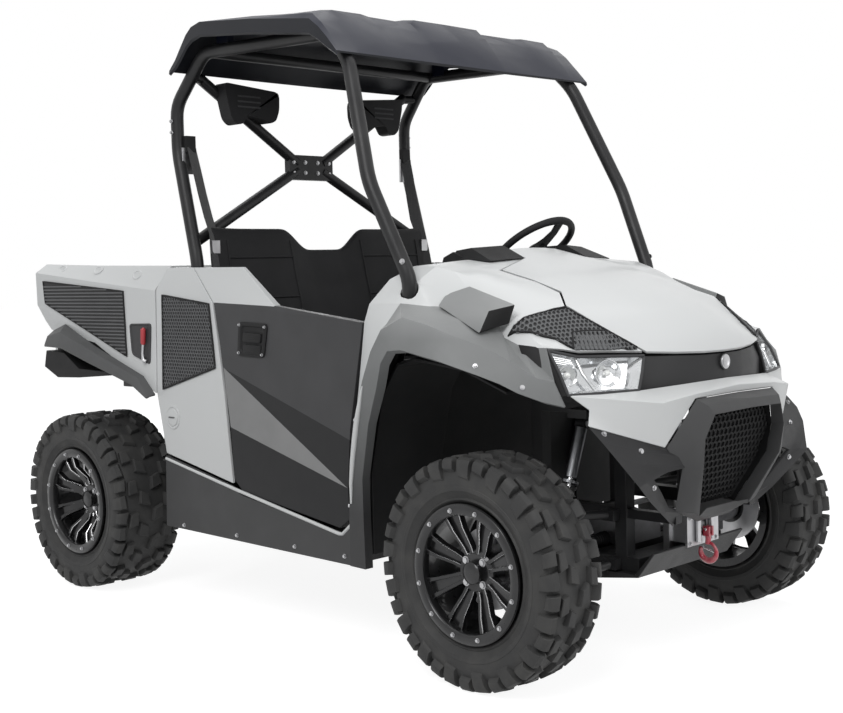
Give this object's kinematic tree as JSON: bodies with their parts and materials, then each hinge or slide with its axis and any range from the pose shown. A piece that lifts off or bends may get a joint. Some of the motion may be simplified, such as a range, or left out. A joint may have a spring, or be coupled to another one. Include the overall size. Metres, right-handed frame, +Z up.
{
  "type": "side by side utility vehicle",
  "caption": "Open-cab off-road utility vehicle with bench seats, roll cage and roof, dumping cargo bed, doors, hood, steered front wheels and a front winch.",
  "frame": {"origin": "on the ground, under the middle of the overall length", "axes": "+X forward, +Y left, +Z up"},
  "size_m": [2.76, 1.48, 1.965],
  "materials": {
    "frame_black": "satin powder coat",
    "body_light": "gloss",
    "flare_grey": "fine grain",
    "panel_dark": "fine grain",
    "plastic_black": "matte",
    "roof_paint": "gloss",
    "seat_vinyl": "grained vinyl",
    "bare_steel": "dull",
    "cast_metal": "cast",
    "shock_metal": "satin",
    "rim_alloy": "satin black with bright faces",
    "tyre_rubber": "matte",
    "wheel_grip": "matte",
    "lamp_clear": "clear",
    "lamp_red": "gloss",
    "hook_red": "gloss"
  },
  "bodies": {
    "chassis": {"frame": "frame_black", "skid_plate": "panel_dark", "cab_floor": "plastic_black", "seat_base": "plastic_black", "cab_back_panel": "plastic_black", "engine_block": "cast_metal", "muffler": "bare_steel", "axle_gearcases": "cast_metal", "drive_shafts": "bare_steel", "suspension_arms": "frame_black", "shock_absorbers": "shock_metal", "rear_knuckles": "cast_metal", "front_bumper": "panel_dark", "bumper_wings": "panel_dark", "bumper_mesh": "plastic_black", "nose_panel": "body_light", "nose_garnish": "panel_dark", "headlights": "lamp_clear", "front_fenders": "body_light", "front_flares": "flare_grey", "flare_scoops": "flare_grey", "arch_liners": "plastic_black", "cowl_dash": "plastic_black", "side_sills": "panel_dark", "rear_quarters": "body_light", "seat_cushions": "seat_vinyl", "seat_backs": "seat_vinyl", "headrests": "seat_vinyl", "roof": "roof_paint", "roll_cage": "frame_black", "rear_x_brace": "frame_black", "winch": "bare_steel", "winch_hook": "hook_red", "hitch_receiver": "frame_black", "steering_column": "frame_black"},
    "hood": {"hood": "body_light"},
    "bed": {"bed_tub": "plastic_black", "bed_side_panels": "body_light", "bed_flares": "flare_grey", "bed_guards": "plastic_black", "tail_lamps": "lamp_red"},
    "tailgate": {"tailgate": "body_light"},
    "door_right": {"door_right": "panel_dark"},
    "door_left": {"door_left": "panel_dark"},
    "wheel_front_right": {"tyre_front_right": "tyre_rubber", "rim_front_right": "rim_alloy"},
    "wheel_front_left": {"tyre_front_left": "tyre_rubber", "rim_front_left": "rim_alloy"},
    "wheel_rear_right": {"tyre_rear_right": "tyre_rubber", "rim_rear_right": "rim_alloy"},
    "wheel_rear_left": {"tyre_rear_left": "tyre_rubber", "rim_rear_left": "rim_alloy"},
    "knuckle_front_right": {"knuckle_front_right": "cast_metal"},
    "knuckle_front_left": {"knuckle_front_left": "cast_metal"},
    "steering_wheel": {"steering_wheel": "wheel_grip"},
    "steering_rack": {"steering_rack": "bare_steel"}
  },
  "joints": [
    {"name": "hood_hinge", "type": "hinge", "parent": "chassis", "child": "hood", "pos_m": [0.602, 0, 1.186], "axis": [0, -1, 0], "range_deg": [0, 45]},
    {"name": "bed_dump", "type": "hinge", "parent": "chassis", "child": "bed", "pos_m": [-1.295, 0, 0.728], "axis": [0, -1, 0], "range_deg": [0, 40]},
    {"name": "tailgate_hinge", "type": "hinge", "parent": "bed", "child": "tailgate", "pos_m": [-1.372, 0, 0.81], "axis": [0, -1, 0], "range_deg": [0, 90]},
    {"name": "door_right_hinge", "type": "hinge", "parent": "chassis", "child": "door_right", "pos_m": [0.424, -0.62, 0.658], "axis": [0.134, 0, 0.991], "range_deg": [0, 70]},
    {"name": "door_left_hinge", "type": "hinge", "parent": "chassis", "child": "door_left", "pos_m": [0.424, 0.62, 0.658], "axis": [-0.134, 0, -0.991], "range_deg": [0, 70]},
    {"name": "steer_right", "type": "hinge", "parent": "chassis", "child": "knuckle_front_right", "pos_m": [0.93, -0.5, 0.316], "axis": [0, 0, 1], "range_deg": [-30, 30]},
    {"name": "steer_left", "type": "hinge", "parent": "chassis", "child": "knuckle_front_left", "pos_m": [0.93, 0.5, 0.316], "axis": [0, 0, 1], "range_deg": [-30, 30]},
    {"name": "steering_wheel_turn", "type": "hinge", "parent": "chassis", "child": "steering_wheel", "pos_m": [0.37, 0.285, 1.191], "axis": [-0.587, 0, 0.8096], "range_deg": [-300, 300]},
    {"name": "rack_slide", "type": "slide", "parent": "chassis", "child": "steering_rack", "axis": [0, 1, 0], "range_m": [-0.054, 0.054]},
    {"name": "roll_front_right", "type": "hinge", "parent": "knuckle_front_right", "child": "wheel_front_right", "pos_m": [0.93, -0.606, 0.316], "axis": [0, 1, 0], "continuous": true},
    {"name": "roll_front_left", "type": "hinge", "parent": "knuckle_front_left", "child": "wheel_front_left", "pos_m": [0.93, 0.606, 0.316], "axis": [0, 1, 0], "continuous": true},
    {"name": "roll_rear_right", "type": "hinge", "parent": "chassis", "child": "wheel_rear_right", "pos_m": [-0.986, -0.588, 0.316], "axis": [0, 1, 0], "continuous": true},
    {"name": "roll_rear_left", "type": "hinge", "parent": "chassis", "child": "wheel_rear_left", "pos_m": [-0.986, 0.588, 0.316], "axis": [0, 1, 0], "continuous": true}
  ],
  "couplings": [
    {"joint": "steer_left", "follows": "steer_right", "ratio": 1},
    {"joint": "steering_wheel_turn", "follows": "steer_right", "ratio": 9},
    {"joint": "rack_slide", "follows": "steer_right", "m_per_rad": -0.1012}
  ]
}
